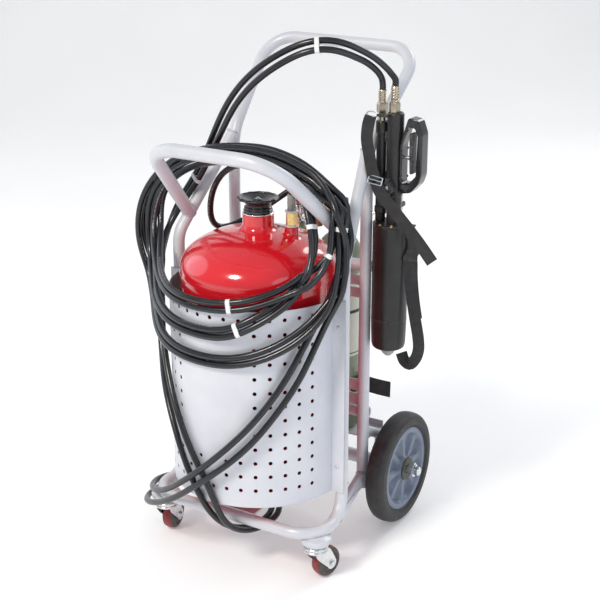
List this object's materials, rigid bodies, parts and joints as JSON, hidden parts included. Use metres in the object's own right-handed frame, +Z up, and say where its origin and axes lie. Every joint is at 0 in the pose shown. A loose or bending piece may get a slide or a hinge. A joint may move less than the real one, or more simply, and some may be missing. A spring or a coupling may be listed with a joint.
{
  "type": "wheeled fire extinguisher",
  "caption": "Water-mist extinguisher trolley: bent-tube frame on two fixed wheels and two swivel casters, shielded tank, air cylinders, coiled twin hose and hand gun.",
  "frame": {"origin": "on the floor at the centre of the overall footprint", "axes": "+X to the gun side, -Y to the perforated shield, +Y to the rear axle and handle, +Z up"},
  "size_m": [0.6416, 0.5774, 1.0895],
  "materials": {
    "frame_paint": "silver powder coat, satin",
    "shield_paint": "silver powder coat on perforated sheet, satin",
    "tank_red": "red enamel, high gloss",
    "zinc_plate": "bright zinc plate",
    "chrome_ring": "polished chrome plate",
    "brass_fitting": "turned brass, lightly tarnished",
    "clear_sleeve": "clear plastic sleeve, slightly smoky",
    "cylinder_paint": "olive enamel, satin",
    "black_plastic": "moulded, satin",
    "black_gloss_plastic": "moulded, glossy",
    "gun_black": "smooth black coating, satin",
    "grey_plastic": "moulded blue-grey nylon, satin",
    "tyre_rubber": "solid rubber tyre, matt",
    "caster_tread": "dark red tread with black edges",
    "hose_rubber": "smooth hose cover, light sheen",
    "black_webbing": "woven nylon webbing"
  },
  "bodies": {
    "trolley": {"rear_frame_tube": "frame_paint", "front_frame_tube": "frame_paint", "hose_rest_tube": "frame_paint", "base_side_tube_left": "frame_paint", "base_side_tube_right": "frame_paint", "upper_cross_tube": "frame_paint", "lower_cross_tube": "frame_paint", "upper_rack_plate": "frame_paint", "lower_rack_plate": "frame_paint", "tank_support_plate": "frame_paint", "cylinder_shelf": "frame_paint", "axle_carrier_tube": "frame_paint", "axle_brace_left": "frame_paint", "axle_brace_right": "frame_paint", "caster_pad_left": "frame_paint", "caster_pad_right": "frame_paint", "front_shield": "shield_paint", "tank": "tank_red", "gun_hook": "zinc_plate", "axle": "zinc_plate", "axle_clip_left": "zinc_plate", "axle_clip_right": "zinc_plate", "filler_seal_ring": "chrome_ring", "outlet_fitting": "brass_fitting", "outlet_sleeve": "clear_sleeve", "dip_tube": "zinc_plate", "air_cylinder_left": "cylinder_paint", "air_cylinder_right": "cylinder_paint", "cylinder_valve_left": "chrome_ring", "cylinder_valve_right": "chrome_ring", "regulator": "brass_fitting", "gauge_case": "chrome_ring", "supply_pipe": "zinc_plate", "cylinder_strap": "black_webbing", "air_hose": "hose_rubber", "water_hose": "hose_rubber"},
    "filler_closure": {"filler_cap": "black_gloss_plastic"},
    "gauge_pointer": {"gauge_needle": "black_plastic"},
    "gun": {"gun_barrel": "gun_black", "gun_nozzle": "grey_plastic", "gun_body": "gun_black", "gun_water_tube": "gun_black", "gun_grip": "black_gloss_plastic", "gun_sling_upper": "black_webbing", "gun_sling_lower": "black_webbing"},
    "trigger": {"gun_trigger": "black_plastic"},
    "trigger_rod": {"trigger_link": "zinc_plate"},
    "valve_knob": {"gun_valve_knob": "black_plastic"},
    "rear_wheel_left": {"rear_tyre_left": "tyre_rubber", "rear_rim_left": "grey_plastic", "hub_cap_left": "black_plastic"},
    "caster_swivel_left": {"caster_fork_left": "zinc_plate"},
    "caster_roller_left": {"caster_wheel_left": "caster_tread"},
    "handwheel_left": {"valve_handwheel_left": "black_plastic"},
    "rear_wheel_right": {"rear_tyre_right": "tyre_rubber", "rear_rim_right": "grey_plastic", "hub_cap_right": "black_plastic"},
    "caster_swivel_right": {"caster_fork_right": "zinc_plate"},
    "caster_roller_right": {"caster_wheel_right": "caster_tread"},
    "handwheel_right": {"valve_handwheel_right": "black_plastic"}
  },
  "joints": [
    {"name": "rear_wheel_left_spin", "type": "hinge", "parent": "trolley", "child": "rear_wheel_left", "pos_m": [-0.22842, 0.16375, 0.125], "axis": [1, 0, 0], "continuous": true},
    {"name": "caster_left_swivel", "type": "hinge", "parent": "trolley", "child": "caster_swivel_left", "pos_m": [-0.20842, -0.16325, 0.07], "axis": [0, 0, 1], "continuous": true},
    {"name": "caster_left_roll", "type": "hinge", "parent": "caster_swivel_left", "child": "caster_roller_left", "pos_m": [-0.21363, -0.13371, 0.033], "axis": [0.9848, 0.1736, 0], "continuous": true},
    {"name": "cylinder_valve_left_turn", "type": "hinge", "parent": "trolley", "child": "handwheel_left", "pos_m": [-0.06992, 0.16575, 0.71], "axis": [0, 0, 1], "range_deg": [0, 540]},
    {"name": "rear_wheel_right_spin", "type": "hinge", "parent": "trolley", "child": "rear_wheel_right", "pos_m": [0.19158, 0.16375, 0.125], "axis": [1, 0, 0], "continuous": true},
    {"name": "caster_right_swivel", "type": "hinge", "parent": "trolley", "child": "caster_swivel_right", "pos_m": [0.17158, -0.16325, 0.07], "axis": [0, 0, 1], "continuous": true},
    {"name": "caster_right_roll", "type": "hinge", "parent": "caster_swivel_right", "child": "caster_roller_right", "pos_m": [0.17833, -0.13402, 0.033], "axis": [0.9744, -0.225, 0], "continuous": true},
    {"name": "cylinder_valve_right_turn", "type": "hinge", "parent": "trolley", "child": "handwheel_right", "pos_m": [0.03308, 0.16575, 0.71], "axis": [0, 0, 1], "range_deg": [0, 540]},
    {"name": "filler_cap_turn", "type": "hinge", "parent": "trolley", "child": "filler_closure", "pos_m": [-0.01842, -0.07525, 0.75], "axis": [0, 0, 1], "range_deg": [0, 720]},
    {"name": "gauge_needle_swing", "type": "hinge", "parent": "trolley", "child": "gauge_pointer", "pos_m": [-0.01842, 0.19075, 0.68], "axis": [0, -1, 0], "range_deg": [0, 270]},
    {"name": "gun_lift", "type": "slide", "parent": "trolley", "child": "gun", "axis": [0, 0, 1], "range_m": [0, 0.06], "deforming": ["air_hose", "water_hose"]},
    {"name": "trigger_squeeze", "type": "hinge", "parent": "gun", "child": "trigger", "pos_m": [0.24108, 0.09275, 0.915], "axis": [0, -1, 0], "range_deg": [0, 5]},
    {"name": "trigger_link_pull", "type": "slide", "parent": "gun", "child": "trigger_rod", "axis": [1, 0, 0], "range_m": [0, 0.006]},
    {"name": "gun_valve_turn", "type": "hinge", "parent": "gun", "child": "valve_knob", "pos_m": [0.20108, 0.06975, 0.79], "axis": [0, -1, 0], "range_deg": [0, 90]}
  ],
  "couplings": [
    {"joint": "trigger_link_pull", "follows": "trigger_squeeze", "m_per_rad": 0.066}
  ]
}
